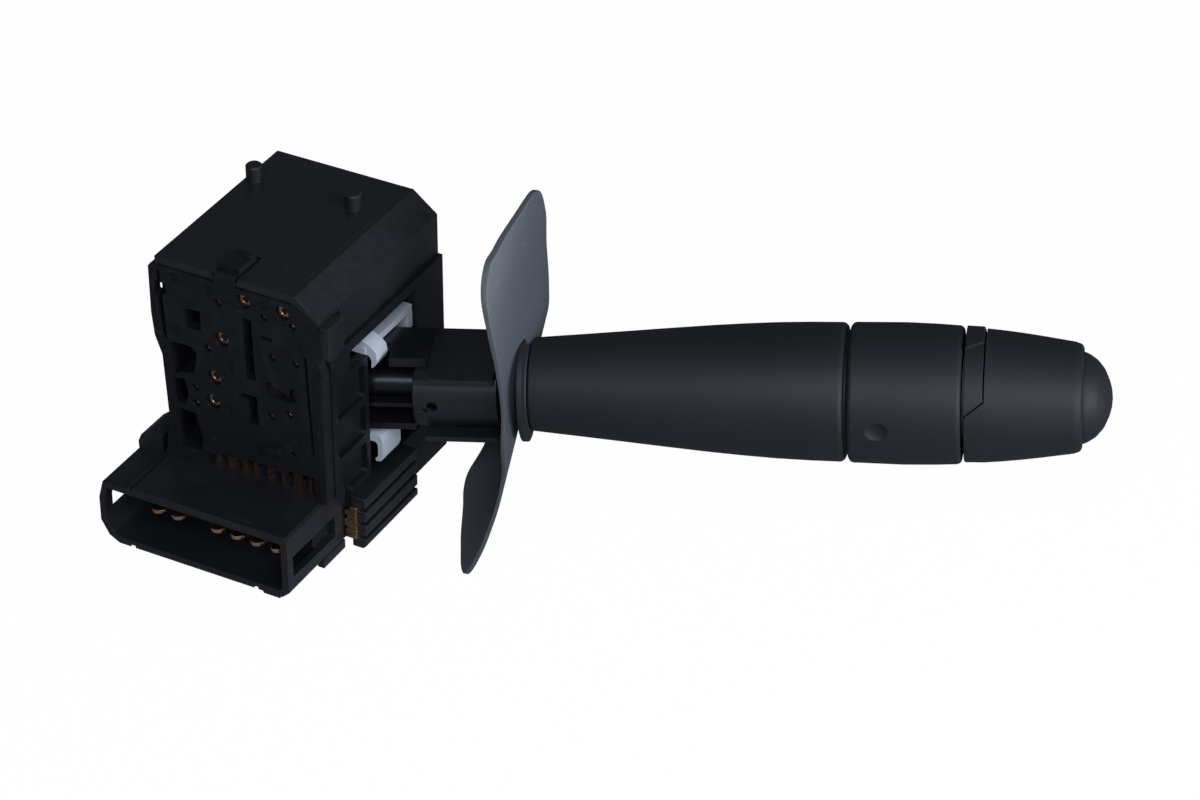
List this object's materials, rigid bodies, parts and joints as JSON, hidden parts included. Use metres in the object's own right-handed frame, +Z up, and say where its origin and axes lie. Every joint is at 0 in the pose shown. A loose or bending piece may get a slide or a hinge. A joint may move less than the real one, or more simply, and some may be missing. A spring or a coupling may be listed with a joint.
{
  "type": "combination stalk switch",
  "caption": "Steering-column stalk switch: box with terminal connector, curved shield, tapered lever with turning rings and an end button.",
  "frame": {"origin": "foot of the main locating pin, on the cover's top face", "axes": "+Z up along the pin; +X across the box to the stalk's side; +Y from the terminal plate to the driver's side"},
  "size_m": [0.1811, 0.0952, 0.0737],
  "materials": {
    "cover_black": "semi-gloss moulded nylon with faint moulding lines",
    "housing_black": "semi-gloss moulded nylon",
    "plate_black": "satin moulded nylon, dusty in the recesses",
    "connector_black": "semi-gloss moulded nylon",
    "rail_black": "semi-gloss moulded nylon",
    "yoke_black": "semi-gloss moulded nylon",
    "bracket_black": "semi-gloss moulded nylon, fine scratches",
    "shield_grey": "satin, faint scratches and specks",
    "grip_charcoal": "fine-grained satin",
    "band_black": "smooth semi-gloss",
    "white_pom": "slightly translucent acetal",
    "natural_nylon": "natural nylon, waxy",
    "copper": "stamped copper alloy, lightly tarnished",
    "spring_steel": "drawn steel, oiled"
  },
  "bodies": {
    "box": {"lower_housing": "housing_black", "top_cover": "cover_black", "terminal_plate": "plate_black", "connector_shroud": "connector_black", "guide_rail": "rail_black", "rail_clip": "copper", "blade_1": "copper", "blade_2": "copper", "blade_3": "copper", "blade_4": "copper", "blade_5": "copper", "blade_6": "copper", "track_turn": "copper", "track_light": "copper", "track_fog": "copper", "track_flash": "copper", "bearing_plate": "housing_black", "detent_track": "housing_black"},
    "carrier": {"carrier": "white_pom", "flash_pin_upper": "spring_steel", "flash_pin_lower": "spring_steel", "turn_plunger": "natural_nylon", "turn_spring": "spring_steel", "flash_spring": "spring_steel"},
    "lever": {"yoke": "yoke_black", "bracket": "bracket_black", "shield": "shield_grey", "root_collar": "grip_charcoal", "handle": "grip_charcoal", "inner_sleeve": "natural_nylon", "index_band": "band_black", "horn_insert": "natural_nylon"},
    "fog": {"fog_ring": "grip_charcoal", "fog_tube": "spring_steel", "fog_crank": "natural_nylon"},
    "light": {"light_collar": "grip_charcoal", "light_rod": "spring_steel", "light_crank": "natural_nylon"},
    "button": {"horn_button": "grip_charcoal", "horn_contact": "copper", "horn_spring": "spring_steel"},
    "turn_shoe": {"turn_slider": "housing_black", "turn_bridge": "copper"},
    "light_shoe": {"light_slider": "housing_black", "light_bridge": "copper"},
    "fog_shoe": {"fog_slider": "housing_black", "fog_bridge": "copper"},
    "flash_shoe": {"flash_slider": "housing_black", "flash_bridge": "copper"}
  },
  "joints": [
    {"name": "turn_hinge", "type": "hinge", "parent": "box", "child": "carrier", "pos_m": [-0.005, -0.0104, -0.0314], "axis": [0, 1, 0], "range_deg": [-7, 7]},
    {"name": "flash_hinge", "type": "hinge", "parent": "carrier", "child": "lever", "pos_m": [0.004, -0.01547, -0.0314], "axis": [0, 0, 1], "range_deg": [0, 7], "stiffness_Nm_per_rad": 2, "springref_deg": -2.29},
    {"name": "fog_turn", "type": "hinge", "parent": "lever", "child": "fog", "pos_m": [0.0134, -0.0119, -0.03024], "axis": [0.9333, 0.3545, 0.057], "range_deg": [-30, 30]},
    {"name": "light_turn", "type": "hinge", "parent": "lever", "child": "light", "pos_m": [0.0134, -0.0119, -0.03024], "axis": [0.9333, 0.3545, 0.057], "range_deg": [0, 60]},
    {"name": "horn_press", "type": "slide", "parent": "lever", "child": "button", "axis": [-0.9333, -0.3545, -0.057], "range_m": [0, 0.0018], "stiffness_N_per_m": 900, "springref_m": -0.0015},
    {"name": "turn_shift", "type": "slide", "parent": "box", "child": "turn_shoe", "axis": [0, 0, 1], "range_m": [-0.0016, 0.0016]},
    {"name": "light_shift", "type": "slide", "parent": "box", "child": "light_shoe", "axis": [0, 0, 1], "range_m": [-0.0062, 0]},
    {"name": "fog_shift", "type": "slide", "parent": "box", "child": "fog_shoe", "axis": [0, 0, 1], "range_m": [-0.0032, 0.0032]},
    {"name": "flash_shift", "type": "slide", "parent": "box", "child": "flash_shoe", "axis": [1, 0, 0], "range_m": [0, 0.0019]}
  ],
  "couplings": [
    {"joint": "turn_shift", "follows": "turn_hinge", "m_per_rad": 0.0124},
    {"joint": "light_shift", "follows": "light_turn", "m_per_rad": -0.00573},
    {"joint": "fog_shift", "follows": "fog_turn", "m_per_rad": -0.006},
    {"joint": "flash_shift", "follows": "flash_hinge", "m_per_rad": 0.0146}
  ]
}
